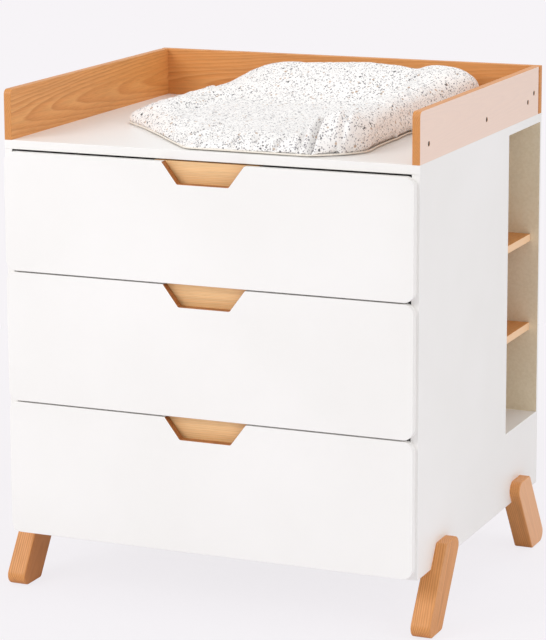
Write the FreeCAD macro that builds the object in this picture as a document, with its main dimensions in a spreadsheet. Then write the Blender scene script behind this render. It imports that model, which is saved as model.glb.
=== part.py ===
import FreeCAD, Part
import math
import os
import Sketcher

# Changing dresser: a lacquered case on four splayed wooden legs, with three drawers at the
# front, open niches in both sides at the back, a wooden guard round the top and a loose mat.
# Millimetres. The origin is on the floor, under the middle of the whole piece.
# +X is the right side, -Y is the front and +Z is up.

document = FreeCAD.newDocument("ChangingDresser")

# ---------------------------------------------------------------- driving sizes

SIZES = (
    # case
    ("caseWidth", 870),          # outer width over the side panels
    ("caseDepth", 738),          # from the panels' front edges to the back of the case
    ("caseHeight", 800),         # from the underside of the case to the top surface
    ("legHeight", 122),          # clear height under the case
    ("board", 16),               # side panels, base, partition and divider
    ("topThick", 18),            # top panel
    ("backThick", 8),            # back panel
    ("edgeSoft", 1.2),           # rounding on the lacquered edges
    # niches behind the drawers
    ("nicheDepth", 213),         # from the partition to the back of the case
    ("nicheFloorRise", 158),     # from the underside of the case to the niche floor
    ("shelfThick", 16),
    ("lowerShelfRise", 178),     # from the niche floor to the underside of the lower shelf
    ("shelfPitch", 191),         # from one shelf to the next
    ("shelfInset", 2),           # the shelf's outer edge behind the side panel's inner face
    ("shelfSlack", 1),           # gap round a shelf
    ("shelfSoft", 1),            # rounding on a shelf's edges
    ("pinRadius", 2.5),          # shelf pins
    ("pinOut", 12),              # length of a pin under the shelf
    ("pinIn", 6),                # length of a pin in its board
    ("pinMargin", 60),           # from the ends of a shelf to its pins
    # guard round the top
    ("guardHeight", 100),
    ("guardThick", 16),
    ("guardCorner", 11),         # round front corner of the side guards
    ("guardSoft", 1.5),          # rounding on the guards' edges
    ("jointWide", 8),            # shadow groove in front of the back guard
    ("jointDeep", 6),
    ("camRadius", 5),            # cam nuts that hold the guards down
    ("camLength", 11),
    ("camSunk", 1),              # a cam's face below the guard's face
    ("camRise", 34),             # from the top panel to a cam
    ("frontCamPlace", 47),       # from the guard's front end
    ("rearCamInset", 78),        # from the back guard
    ("middleCamShare", 0.56),    # share of the way from the front cam to the rear one
    ("cornerCamRise", 48),       # the cam that pulls the back guard in
    ("cornerCamInset", 38),      # from the back guard to that cam
    ("camBoltRadius", 3),
    ("camBoltHold", 11),         # length of a cam bolt in the board that it draws in
    # drawer fronts
    ("frontThick", 16),
    ("frontReveal", 5.5),        # the front's edge inside the case's side
    ("frontGap", 3),             # between fronts, and under the top panel
    ("frontBottomGap", 4),       # from the underside of the case to the bottom front
    ("bottomFrontHeight", 270),
    ("middleFrontHeight", 261.5),
    ("frontCorner", 20),
    ("notchTopHalf", 85.5),        # half the notch's width at the top edge
    ("notchBottomHalf", 54),     # and at its lower edge
    ("notchDepth", 42),
    ("notchCorner", 5),
    # wooden pulls behind the notches
    ("pullThick", 24),
    ("pullHeight", 92),
    ("pullSide", 24),            # how far the pull runs past the notch at each side
    ("pocketSide", 6),           # how far the finger pocket runs past the notch
    ("pocketDrop", 16),          # how far the pocket runs down behind the front
    ("pocketDepth", 12),         # the pocket at its lower edge
    # drawer boxes
    ("drawerBoard", 12),
    ("drawerBackGap", 59),       # from the drawer's back end to the partition
    ("drawerSideDrop", 40),      # from the front's top edge to the sides' top edge
    ("drawerSideRise", 18),      # from the front's lower edge to the sides' lower edge
    ("drawerBackDrop", 8),       # from the sides' top edge to the back's top edge
    ("drawerFloor", 4),          # thickness of the drawer bottom
    ("drawerFloorRise", 10),     # from the sides' lower edge to the drawer bottom
    ("grooveDepth", 6),
    ("grooveSlack", 0.2),
    # ball-bearing runners, one pair to a drawer
    ("runnerSpace", 13),         # between a drawer side and the case side
    ("runnerSheet", 1.2),        # thickness of the steel
    ("runnerFront", 3),          # from the front's back face to the runners
    ("runnerBack", 1),           # from the runners to the drawer's back end
    ("runnerRise", 42),          # from the drawer side's lower edge to the runners' middle
    ("outerRunnerHeight", 45),
    ("middleRunnerHeight", 36),
    ("innerRunnerHeight", 25),
    ("outerRunnerDeep", 9),      # how far the outer member stands off the case side
    ("middleRunnerStart", 3),    # from the case side to the middle member
    ("middleRunnerDeep", 7.5),
    ("innerRunnerDeep", 6.5),    # how far the inner member stands off the drawer side
    # legs
    ("legThick", 40),
    ("legTab", 22),              # the part of the thickness that laps the side panel
    ("legLap", 46),              # height of that lap
    ("legWidth", 88),            # level width of the slanted leg
    ("legShift", 111),           # how far a leg leans over its whole height
    ("frontToeReach", 8),        # the front feet ahead of the case
    ("legAcute", 19),            # round at the sharp corners
    ("legObtuse", 9),            # round at the blunt corners
    ("legSoft", 3),              # rounding on the long edges
    ("glideRadius", 14),
    ("glidePlace", 58),          # from a foot's sharp corner to its glide
    ("glideThick", 2),
    ("legBoltRadius", 3),
    ("legBoltHead", 6),          # radius of the head
    ("legBoltHeadThick", 4),
    ("legBoltBite", 15),         # length of a bolt in the leg
    ("legBoltRise", 27),         # from the underside of the case to the bolts
    ("legBoltPitch", 32),
    # dowels
    ("dowelRadius", 4),
    ("dowelHold", 9),            # length of a dowel in a board's face
    ("dowelEnd", 18),            # length of a dowel in a board's end
    ("dowelMargin", 90),         # from the end of a joint to its first dowel
    ("fitSlack", 0.1),           # round a dowel, bolt or pin in its hole
    ("holeEnd", 1),              # past the end of what is in a blind hole
    # changing mat
    ("matFront", 4),             # from the case's front plane to the mat
    ("matBackGap", 18),          # from the mat to the back guard
    ("matHalf", 303),            # half the mat's width
    ("matPad", 24),              # thickness of the middle
    ("matCrown", 5),             # rise of the middle over its edges
    ("matLeftRoll", 42),         # height of the flattened left roll
    ("matRightRoll", 74),        # height of the right roll
    ("matBackRoll", 94),         # height of the back roll
    ("matBackReach", 240),       # how far the back roll reaches from the back end
    ("matBackClimb", 180),       # over which it rises
    ("matBackBulge", 12),        # how far the back roll swells past the right edge
    ("matLeftSlope", 0.72),      # share of the back roll's height left where it slopes to the left
    ("matRollWidth", 120),
    ("matLeftCorner", 250),      # the left front corner, cut away
    ("matLeftCut", 280),         # how far back that cut reaches
    ("matRightCorner", 80),      # the right front corner, cut away
    ("matEdge", 10),             # thickness of the front edge
    ("matTail", 0.5),            # share of its height that the mat loses at its back end
    ("matTailLength", 50),       # over which it loses it
    ("matCrest", 0.45),          # share of the right roll's width from its edge to its crest
    ("matLeftCrest", 0.6),       # the same on the flattened left roll
    ("matBelly", 0.3),           # share of the right roll's height where it is widest
    ("matLeftBelly", 0.12),      # the same on the left roll, whose edge is thin
    ("matSideUp", 0.62),         # share of a roll's height where its side meets its top
    ("matSideIn", 0.15),         # how far in that is, as a share of the right roll's height
    ("matLeftSideIn", 0.6),      # the same on the left roll
    ("matBackSideUp", 0.75),     # the same two on the fuller right end of the back roll
    ("matBackSideIn", 0.07),
    ("matRollShare", 0.36),      # most of the mat's width that one roll takes
    ("matSections", 14),         # cross-sections along the mat
    ("matLiftGap", 0.2),         # under the mat
)

# ---------------------------------------------------------------- places worked out from them

PLACES = (
    ("frontPlane", "-(caseDepth - frontThick) / 2"),
    ("backPlane", "frontPlane + caseDepth"),
    ("caseBottom", "legHeight"),
    ("caseTop", "caseBottom + caseHeight"),
    ("topUnder", "caseTop - topThick"),
    ("caseSide", "caseWidth / 2"),
    ("sideInner", "caseSide - board"),
    ("backInner", "backPlane - backThick"),
    ("baseTop", "caseBottom + board"),
    ("nicheFront", "backPlane - nicheDepth"),
    ("partitionFront", "nicheFront - board"),
    ("nicheFloorTop", "caseBottom + nicheFloorRise"),
    ("dividerHalf", "board / 2"),
    ("shelfOuter", "sideInner - shelfInset"),
    ("guardBack", "backPlane - guardThick"),
    ("guardTop", "caseTop + guardHeight"),
    ("matStart", "frontPlane + matFront"),
    ("matLength", "guardBack - matBackGap - matStart"),
    ("guardInner", "caseSide - guardThick"),
    ("frontCam", "frontPlane + frontCamPlace"),
    ("rearCam", "guardBack - rearCamInset"),
    ("middleCam", "frontCam + middleCamShare * ( rearCam - frontCam )"),
    ("cornerCam", "guardBack - cornerCamInset"),
    ("camHole", "camLength + camSunk"),
    ("frontFace", "frontPlane - frontThick"),
    ("frontHalf", "caseSide - frontReveal"),
    ("bottomFrontLow", "caseBottom + frontBottomGap"),
    ("bottomFrontTop", "bottomFrontLow + bottomFrontHeight"),
    ("middleFrontLow", "bottomFrontTop + frontGap"),
    ("middleFrontTop", "middleFrontLow + middleFrontHeight"),
    ("topFrontLow", "middleFrontTop + frontGap"),
    ("topFrontTop", "topUnder - frontGap"),
    ("pullHalf", "notchTopHalf + pullSide"),
    ("pocketHalf", "notchTopHalf + pocketSide"),
    ("drawerOuter", "sideInner - runnerSpace"),
    ("drawerInner", "drawerOuter - drawerBoard"),
    ("drawerEnd", "partitionFront - drawerBackGap"),
    ("runnerStart", "frontPlane + runnerFront"),
    ("runnerEnd", "drawerEnd - runnerBack"),
    ("legOuter", "caseSide + legTab"),
    ("legInner", "legOuter - legThick"),
    ("legTop", "caseBottom + legLap"),
    ("legSlope", "legShift / (legTop - glideThick)"),
    ("legLedgeShift", "legSlope * (caseBottom - glideThick)"),
    ("frontToe", "frontPlane - frontToeReach"),
    ("rearToe", "backPlane"),
    ("legBoltShift", "legSlope * (caseBottom + legBoltRise - glideThick) + legWidth / 2"),
)

sizes = document.addObject("Spreadsheet::Sheet", "Sizes")
places = document.addObject("Spreadsheet::Sheet", "Places")
SIZE_NAMES = [name for name, number in SIZES]
PLACE_NAMES = [name for name, rule in PLACES]


def spelled(rule):
    """Write a rule with each size and place as its own cell."""
    words = rule.replace("(", "( ").replace(")", " )").split()
    for spot, word in enumerate(words):
        bare = word.lstrip("-")
        sign = "-" * (len(word) - len(bare))
        if bare in SIZE_NAMES:
            words[spot] = sign + "Sizes." + bare
        elif bare in PLACE_NAMES:
            words[spot] = sign + "Places." + bare
    return " ".join(words)


for row, (name, number) in enumerate(SIZES, start=1):
    sizes.set("A%d" % row, name)
    sizes.set("B%d" % row, str(number))
    sizes.setAlias("B%d" % row, name)
document.recompute()
for row, (name, rule) in enumerate(PLACES, start=1):
    places.set("A%d" % row, name)
    places.set("B%d" % row, "=" + spelled(rule))
    places.setAlias("B%d" % row, name)
document.recompute()


def number(name):
    """The value of one size or place."""
    sheet = sizes if name in SIZE_NAMES else places
    return float(sheet.get(name))


# ---------------------------------------------------------------- ways of making a piece

NODES = []


def bind(thing, **rules):
    """Bind properties to rules; x, y and z are the place."""
    for name, rule in rules.items():
        path = "Placement.Base." + name if name in ("x", "y", "z") else name
        thing.setExpression(path, spelled(rule))


def node(thing, label):
    """Keep a finished piece under its own name."""
    thing.Label = label
    NODES.append(thing)
    return thing


def block(name, x, y, z):
    """A square block between two rules along each axis."""
    box = document.addObject("Part::Box", name)
    bind(box, x=x[0], y=y[0], z=z[0])
    spans = {}
    for side, (low, high) in (("Length", x), ("Width", y), ("Height", z)):
        spans[side] = "( %s ) - ( %s )" % (high, low)
    bind(box, **spans)
    return box


TURNS = {
    "x": FreeCAD.Rotation(FreeCAD.Vector(0, 1, 0), 90),
    "y": FreeCAD.Rotation(FreeCAD.Vector(1, 0, 0), -90),
    "z": FreeCAD.Rotation(),
}


def rod(name, axis, start, radius, length):
    """A round rod from a point, given as three rules, along +X, +Y or +Z."""
    cylinder = document.addObject("Part::Cylinder", name)
    cylinder.Placement = FreeCAD.Placement(FreeCAD.Vector(), TURNS[axis])
    bind(cylinder, x=start[0], y=start[1], z=start[2], Radius=radius, Height=length)
    return cylinder


def group(name, pieces):
    """Separate solids kept together."""
    compound = document.addObject("Part::Compound", name)
    compound.Links = pieces
    return compound


def cut(name, base, tool):
    """A piece less a tool or a group of tools."""
    result = document.addObject("Part::Cut", name)
    result.Base = base
    result.Tool = tool
    result.Refine = True
    return result


def joined(name, pieces):
    """Pieces fused to one solid."""
    result = document.addObject("Part::MultiFuse", name)
    result.Shapes = pieces
    result.Refine = True
    return result


PLANES = {
    "top": ("XY_Plane", 1),       # drawn in X and Y, grows towards +Z
    "front": ("XZ_Plane", -1),    # drawn in X and Z, grows towards -Y
    "side": ("YZ_Plane", 1),      # drawn in Y and Z, grows towards +X
}


def outline(body, name, plane, start, corners):
    """A closed outline of straight lines; each corner is two rules."""
    role, sense = PLANES[plane]
    support = [item for item in body.Origin.OriginFeatures if item.Role == role][0]
    sketch = body.newObject("Sketcher::SketchObject", name)
    sketch.AttachmentSupport = [(support, "")]
    sketch.MapMode = "FlatFace"
    sketch.setExpression("AttachmentOffset.Base.z", spelled("( %s ) * %d" % (start, sense)))
    count = len(corners)
    rough_radius = number("caseHeight") / 8
    ring = []
    for spot in range(count):
        turn = 2 * math.pi * spot / count
        ring.append(FreeCAD.Vector(rough_radius * math.cos(turn), rough_radius * math.sin(turn), 0))
    for spot in range(count):
        sketch.addGeometry(Part.LineSegment(ring[spot], ring[(spot + 1) % count]), False)
    for spot in range(count):
        sketch.addConstraint(Sketcher.Constraint("Coincident", spot, 2, (spot + 1) % count, 1))
    for spot, corner in enumerate(corners):
        for kind, rule, rough in zip(("DistanceX", "DistanceY"), corner, ring[spot]):
            place = sketch.addConstraint(Sketcher.Constraint(kind, -1, 1, spot, 1, rough))
            sketch.setExpression("Constraints[%d]" % place, spelled(rule))
    return sketch


def padded(body, name, plane, start, corners, length):
    """An outline grown to a thickness."""
    sketch = outline(body, name + "_outline", plane, start, corners)
    pad = body.newObject("PartDesign::Pad", name + "_pad")
    pad.Profile = sketch
    pad.setExpression("Length", spelled(length))
    document.recompute()
    return pad


def rounded(body, name, base, radius, chosen):
    """Round the edges of a feature that a test on each edge's box picks."""
    names = []
    for spot, edge in enumerate(base.Shape.Edges, start=1):
        if chosen(edge.BoundBox):
            names.append("Edge%d" % spot)
    fillet = body.newObject("PartDesign::Fillet", name)
    fillet.Base = (base, names)
    fillet.setExpression("Radius", spelled(radius))
    document.recompute()
    return fillet


def extruded(name, plane, start, corners, length):
    """A body of one outline with square edges."""
    body = document.addObject("PartDesign::Body", name)
    padded(body, name, plane, start, corners, length)
    return body


def near(first, second):
    """Whether two lengths are the same."""
    return abs(first - second) < 0.01


def sided(side, near_rule, far_rule):
    """A span at the right (1) or its mirror image at the left (-1)."""
    if side > 0:
        return (near_rule, far_rule)
    return ("-( %s )" % far_rule, "-( %s )" % near_rule)


def at(side, rule):
    """A distance to the right (1) or to the left (-1)."""
    return "%d * ( %s )" % (side, rule)


def fixing(name, axis, start, radius, length):
    """A round pin, and the slightly larger hole that it sits in."""
    pin = rod(name, axis, start, radius, length)
    hole_start = list(start)
    hole_start["xyz".index(axis)] += " - holeEnd"
    hole = rod(name + "_hole", axis, hole_start, radius + " + fitSlack", length + " + 2 * holeEnd")
    return pin, hole


SIDES = {"left": -1, "right": 1}

# ---------------------------------------------------------------- dowels of the case

dowels = []
dowel_holes = []


def dowel(axis, start):
    """One wooden dowel and its hole."""
    name = "dowel_%d" % len(dowels)
    pin, hole = fixing(name, axis, start, "dowelRadius", "dowelEnd + dowelHold")
    dowels.append(pin)
    dowel_holes.append(hole)


def make_dowels():
    """Dowels between the case's boards, and under the back guard."""
    for side in SIDES.values():
        middle = at(side, "caseSide - board / 2")
        for spot in range(3):
            along = "frontPlane + dowelMargin + %d * ( nicheFront - frontPlane - 2 * dowelMargin ) / 2" % spot
            dowel("z", (middle, along, "topUnder - dowelEnd"))
        start = "sideInner - dowelEnd" if side > 0 else "-sideInner - dowelHold"
        for spot in range(3):
            along = "frontPlane + dowelMargin + %d * ( nicheFront - frontPlane - 2 * dowelMargin ) / 2" % spot
            dowel("x", (start, along, "caseBottom + board / 2"))
            rise = "baseTop + dowelMargin + %d * ( topUnder - baseTop - 2 * dowelMargin ) / 2" % spot
            dowel("x", (start, "nicheFront - board / 2", rise))
        for along in ("nicheFront + dowelMargin / 2", "backInner - dowelMargin / 2"):
            dowel("x", (start, along, "nicheFloorTop - board / 2"))
    for across in (-1, 0, 1):
        place = "%d * ( caseSide - 2 * dowelMargin )" % across
        dowel("z", (place, "backPlane - guardThick / 2", "caseTop - dowelHold"))
    node(group("case_dowels", dowels), "case_dowels")
    return group("dowel_holes", dowel_holes)


# ---------------------------------------------------------------- guard fixings


def cam(name, along, rise, axis, side):
    """A cam nut sunk in a side guard, its bolt and the holes for both."""
    low = "caseSide - camHole" if side > 0 else "-caseSide + camSunk"
    body = rod(name + "_round", "x", (low, along, rise), "camRadius", "camLength")
    centre = at(side, "caseSide - guardThick / 2")
    throat = "camBoltRadius + 2 * fitSlack"
    across = (centre + " - ( " + throat + " )", centre + " + ( " + throat + " )")
    beside = (" - ( " + throat + " )", " + ( " + throat + " )")
    if axis == "z":
        y_span = (along + beside[0], along + beside[1])
        z_span = (rise + " - camRadius", rise + " + fitSlack")
        bolt_start = (centre, along, "caseTop - camBoltHold")
        bolt_length = "camBoltHold + camRise"
    else:
        y_span = (along + " - fitSlack", along + " + camRadius")
        z_span = (rise + beside[0], rise + beside[1])
        bolt_start = (centre, along, rise)
        bolt_length = "camBoltHold + cornerCamInset"
    slot = block(name + "_throat", across, y_span, z_span)
    nut = cut(name, body, slot)
    bolt, bolt_hole = fixing(name + "_bolt", axis, bolt_start, "camBoltRadius", bolt_length)
    mouth = "caseSide - camHole - fitSlack" if side > 0 else "-caseSide - holeEnd"
    nut_hole = rod(name + "_seat", "x", (mouth, along, rise), "camRadius + fitSlack",
                   "camHole + fitSlack + holeEnd")
    return nut, bolt, group(name + "_holes", [bolt_hole, nut_hole])


def make_cams():
    """Four cam nuts and bolts in each side guard."""
    nuts = []
    bolts = []
    holes = []
    rows = (
        ("front", "frontCam", "caseTop + camRise", "z"),
        ("middle", "middleCam", "caseTop + camRise", "z"),
        ("rear", "rearCam", "caseTop + camRise", "z"),
        ("corner", "cornerCam", "caseTop + cornerCamRise", "y"),
    )
    for side_name, side in SIDES.items():
        for place, along, rise, axis in rows:
            nut, bolt, hole = cam("%s_%s_cam" % (side_name, place), along, rise, axis, side)
            nuts.append(nut)
            bolts.append(bolt)
            holes.append(hole)
    node(group("guard_cams", nuts), "guard_cams")
    node(group("guard_cam_bolts", bolts), "guard_cam_bolts")
    return group("cam_holes", holes)


# ---------------------------------------------------------------- shelf pins


def shelf_low(level):
    """The underside of a shelf: 0 is the lower one, 1 the upper one."""
    return "nicheFloorTop + lowerShelfRise + %d * shelfPitch" % level


def make_pins():
    """Four pins under each shelf, in the partition and the back panel."""
    pins = []
    holes = []
    for side in SIDES.values():
        for level in (0, 1):
            rise = shelf_low(level) + " - pinRadius"
            for across in ("dividerHalf + pinMargin", "shelfOuter - pinMargin"):
                for start in ("nicheFront - pinIn", "backInner - pinOut"):
                    name = "pin_%d" % len(pins)
                    place = (at(side, across), start, rise)
                    pin, hole = fixing(name, "y", place, "pinRadius", "pinOut + pinIn")
                    pins.append(pin)
                    holes.append(hole)
    node(group("shelf_pins", pins), "shelf_pins")
    return group("pin_holes", holes)


# ---------------------------------------------------------------- legs and their bolts


def leg_corner(end, shift, wide):
    """How far along the case a corner of a leg's slanted outline is."""
    reach = "( %s + %s )" % (shift, wide)
    return "frontToe + " + reach if end == "front" else "rearToe - " + reach


def make_leg_bolts():
    """Two bolts from inside the case into each leg's lap."""
    bolts = []
    holes = []
    for end in ("front", "rear"):
        for side_name, side in SIDES.items():
            for step in (-1, 1):
                name = "%s_%s_leg_bolt_%d" % (end, side_name, step + 1)
                along = leg_corner(end, "legBoltShift", "%d * legBoltPitch / 2" % step)
                rise = "caseBottom + legBoltRise"
                shank_low = "sideInner" if side > 0 else "-caseSide - legBoltBite"
                shank, hole = fixing(name + "_shank", "x", (shank_low, along, rise),
                                     "legBoltRadius", "board + legBoltBite")
                head_low = "sideInner - legBoltHeadThick" if side > 0 else "-sideInner"
                head = rod(name + "_head", "x", (head_low, along, rise), "legBoltHead", "legBoltHeadThick")
                bolts.append(joined(name, [shank, head]))
                holes.append(hole)
    node(group("leg_bolts", bolts), "leg_bolts")
    return group("leg_bolt_holes", holes)


def make_leg(end, side_name, holes):
    """A slanted leg whose upper part laps the outside of the side panel."""
    side = SIDES[side_name]
    name = "%s_%s_leg" % (end, side_name)
    body = document.addObject("PartDesign::Body", name + "_timber")
    full = []
    short = []
    for wide, top in (("0", False), ("legWidth", False), ("legWidth", True), ("0", True)):
        full.append((leg_corner(end, "legShift" if top else "0", wide), "legTop" if top else "glideThick"))
        short.append((leg_corner(end, "legLedgeShift" if top else "0", wide),
                      "caseBottom" if top else "glideThick"))
    lap_start = "caseSide" if side > 0 else "-legOuter"
    under_start = "legInner" if side > 0 else "-caseSide"
    padded(body, name + "_lap", "side", lap_start, full, "legTab")
    blank = padded(body, name + "_under", "side", under_start, short, "legThick - legTab")
    floor = number("glideThick")
    top = number("legTop")
    toe = number("frontToe") if end == "front" else number("rearToe")
    peak = toe + (1 if end == "front" else -1) * (number("legShift") + number("legWidth"))
    ledge = number("caseBottom")

    def level(box, height):
        return near(box.ZMin, height) and near(box.ZMax, height) and box.YLength < 0.01

    blank = rounded(body, name + "_toe", blank, "legAcute",
                    lambda box: level(box, floor) and near(box.YMin, toe))
    blank = rounded(body, name + "_heel", blank, "legObtuse", lambda box: level(box, floor))
    blank = rounded(body, name + "_peak", blank, "legAcute",
                    lambda box: level(box, top) and near(box.YMin, peak))
    blank = rounded(body, name + "_crown", blank, "legObtuse", lambda box: level(box, top))
    faces = (number("legOuter"), number("legInner"))

    def outer_edge(box):
        return box.XLength < 0.01 and any(near(abs(box.XMin), face) for face in faces)

    def on_ledge(box):
        return near(box.ZMin, ledge) and near(box.ZMax, ledge)

    rounded(body, name + "_soft", blank, "legSoft", lambda box: outer_edge(box) and not on_ledge(box))
    return node(cut(name, body, holes), name)


def make_glides():
    """A round felt glide under each foot."""
    glides = []
    for end in ("front", "rear"):
        for side_name, side in SIDES.items():
            along = leg_corner(end, "0", "glidePlace")
            place = (at(side, "legOuter - legThick / 2"), along, "0")
            glides.append(rod("%s_%s_glide" % (end, side_name), "z", place, "glideRadius", "glideThick"))
    node(group("felt_glides", glides), "felt_glides")


# ---------------------------------------------------------------- case


def make_top(holes):
    """The top panel, which covers the side panels."""
    body = document.addObject("PartDesign::Body", "top_board")
    corners = [("-caseSide", "frontPlane"), ("caseSide", "frontPlane"),
               ("caseSide", "backPlane"), ("-caseSide", "backPlane")]
    blank = padded(body, "top_board", "top", "topUnder", corners, "topThick")
    front = number("frontPlane")
    rounded(body, "top_board_soft", blank, "edgeSoft", lambda box: near(box.YMax, front) and box.XLength > 1)
    node(cut("top_panel", body, holes), "top_panel")


def make_side(side_name, holes):
    """A side panel: full depth at the foot, and cut away above for the niche."""
    side = SIDES[side_name]
    name = side_name + "_side"
    body = document.addObject("PartDesign::Body", name)
    corners = [("frontPlane", "caseBottom"), ("backInner", "caseBottom"), ("backInner", "nicheFloorTop"),
               ("nicheFront", "nicheFloorTop"), ("nicheFront", "topUnder"), ("frontPlane", "topUnder")]
    start = "sideInner" if side > 0 else "-caseSide"
    blank = padded(body, name, "side", start, corners, "board")
    outer = number("caseSide")
    under = number("topUnder")
    back = number("backInner")

    def visible(box):
        flush = near(box.ZMin, under) or near(box.YMin, back)
        return box.XLength < 0.01 and near(abs(box.XMin), outer) and not flush

    rounded(body, name + "_soft", blank, "edgeSoft", visible)
    node(cut(name + "_panel", body, holes), name + "_panel")


def make_case(holes):
    """The boards of the case."""
    inside = ("-sideInner", "sideInner")
    make_top(holes)
    for side_name in SIDES:
        make_side(side_name, holes)
    back = block("back_board", ("-caseSide", "caseSide"), ("backInner", "backPlane"),
                 ("caseBottom", "topUnder"))
    node(cut("back_panel", back, holes), "back_panel")
    base = block("base_board", inside, ("frontPlane", "backInner"), ("caseBottom", "baseTop"))
    node(cut("base_panel", base, holes), "base_panel")
    wall = block("partition_board", inside, ("partitionFront", "nicheFront"), ("baseTop", "topUnder"))
    node(cut("drawer_partition", wall, holes), "drawer_partition")
    node(block("niche_divider", ("-dividerHalf", "dividerHalf"), ("nicheFront", "backInner"),
               ("baseTop", "topUnder")), "niche_divider")


def make_niches(holes):
    """The niche floors and the wooden shelves."""
    for side_name, side in SIDES.items():
        floor = block(side_name + "_floor_board", sided(side, "dividerHalf", "sideInner"),
                      ("nicheFront", "backInner"), ("nicheFloorTop - board", "nicheFloorTop"))
        node(cut(side_name + "_niche_floor", floor, holes), side_name + "_niche_floor")
        for level, level_name in enumerate(("lower", "upper")):
            name = "%s_%s_shelf" % (side_name, level_name)
            across = sided(side, "dividerHalf + shelfSlack", "shelfOuter")
            body = document.addObject("PartDesign::Body", name)
            corners = [(across[0], "nicheFront + shelfSlack"), (across[1], "nicheFront + shelfSlack"),
                       (across[1], "backInner - shelfSlack"), (across[0], "backInner - shelfSlack")]
            blank = padded(body, name, "top", shelf_low(level), corners, "shelfThick")
            outer = number("shelfOuter")
            rounded(body, name + "_soft", blank, "shelfSoft",
                    lambda box: box.YLength > 1 and near(abs(box.XMin), outer) and box.XLength < 0.01)
            node(body, name)


# ---------------------------------------------------------------- guard


def make_guards(holes):
    """Three boards that stand round the changing surface."""
    low = number("caseTop")
    top = number("guardTop")
    front = number("frontPlane")
    back = number("guardBack")
    for side_name, side in SIDES.items():
        name = side_name + "_guard"
        body = document.addObject("PartDesign::Body", name + "_board")
        corners = [("frontPlane", "caseTop"), ("guardBack", "caseTop"),
                   ("guardBack", "guardTop"), ("frontPlane", "guardTop")]
        start = "guardInner" if side > 0 else "-caseSide"
        blank = padded(body, name, "side", start, corners, "guardThick")
        blank = rounded(body, name + "_corner", blank, "guardCorner",
                        lambda box: near(box.ZMin, top) and near(box.YMax, front))

        def free_edge(box):
            joint = near(box.YMin, back) or near(box.ZMax, low)
            return box.XLength < 0.01 and not joint

        rounded(body, name + "_soft", blank, "guardSoft", free_edge)
        groove = block(name + "_groove",
                       sided(SIDES[side_name], "caseSide - jointDeep", "caseSide + holeEnd"),
                       ("guardBack - jointWide", "guardBack + holeEnd"),
                       ("caseTop - holeEnd", "guardTop + holeEnd"))
        node(cut(name, body, group(name + "_cuts", [holes, groove])), name)
    body = document.addObject("PartDesign::Body", "back_guard_board")
    corners = [("-caseSide", "guardBack"), ("caseSide", "guardBack"),
               ("caseSide", "backPlane"), ("-caseSide", "backPlane")]
    blank = padded(body, "back_guard", "top", "caseTop", corners, "guardHeight")
    rounded(body, "back_guard_soft", blank, "guardSoft", lambda box: box.ZMax > low + 1)
    node(cut("back_guard", body, holes), "back_guard")


# ---------------------------------------------------------------- drawers


def make_front(level, low, top):
    """A drawer front with round corners and a notch for the hand."""
    name = level + "_drawer_front"
    body = document.addObject("PartDesign::Body", name)
    foot = top + " - notchDepth"
    corners = [("-frontHalf", low), ("frontHalf", low), ("frontHalf", top), ("notchTopHalf", top),
               ("notchBottomHalf", foot), ("-notchBottomHalf", foot), ("-notchTopHalf", top),
               ("-frontHalf", top)]
    blank = padded(body, name, "front", "frontPlane", corners, "frontThick")
    half = number("frontHalf")
    notch = number("notchBottomHalf")
    face = number("frontFace")

    def upright(box, place):
        return box.YLength > 1 and near(abs(box.XMin), place)

    blank = rounded(body, name + "_corners", blank, "frontCorner", lambda box: upright(box, half))
    blank = rounded(body, name + "_notch", blank, "notchCorner", lambda box: upright(box, notch))
    rounded(body, name + "_soft", blank, "edgeSoft", lambda box: near(box.YMax, face))
    node(body, name)


def make_pull(level, top):
    """A wooden plate behind the notch, sloped so that fingers hook behind the front."""
    name = level + "_drawer_pull"
    plate = block(name + "_plate", ("-pullHalf", "pullHalf"), ("frontPlane", "frontPlane + pullThick"),
                  (top + " - pullHeight", top))
    foot = top + " - notchDepth - pocketDrop"
    slope = [("frontPlane", top), ("frontPlane", foot), ("frontPlane + pocketDepth", foot)]
    pocket = extruded(name + "_pocket", "side", "-pocketHalf", slope, "2 * pocketHalf")
    node(cut(name, plate, pocket), name)


def make_box(level, low, top):
    """The drawer's two sides, its back and its bottom."""
    side_low = low + " + drawerSideRise"
    side_top = top + " - drawerSideDrop"
    floor_low = side_low + " + drawerFloorRise"
    floor_top = floor_low + " + drawerFloor"
    groove = (floor_low + " - grooveSlack", floor_top + " + grooveSlack")
    for side_name, side in SIDES.items():
        inner = at(side, "drawerInner")
        outer = at(side, "drawerOuter")
        depth = at(side, "drawerInner + grooveDepth")
        corners = [(inner, side_low), (outer, side_low), (outer, side_top), (inner, side_top),
                   (inner, groove[1]), (depth, groove[1]), (depth, groove[0]), (inner, groove[0])]
        name = "%s_drawer_%s_side" % (level, side_name)
        node(extruded(name, "front", "drawerEnd", corners, "drawerEnd - frontPlane"), name)
    node(block(level + "_drawer_back", ("-drawerInner", "drawerInner"),
               ("drawerEnd - drawerBoard", "drawerEnd"),
               (floor_top, side_top + " - drawerBackDrop")), level + "_drawer_back")
    reach = "( drawerInner + grooveDepth - grooveSlack )"
    node(block(level + "_drawer_bottom", ("-" + reach, reach), ("frontPlane", "drawerEnd"),
               (floor_low, floor_top)), level + "_drawer_bottom")


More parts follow.
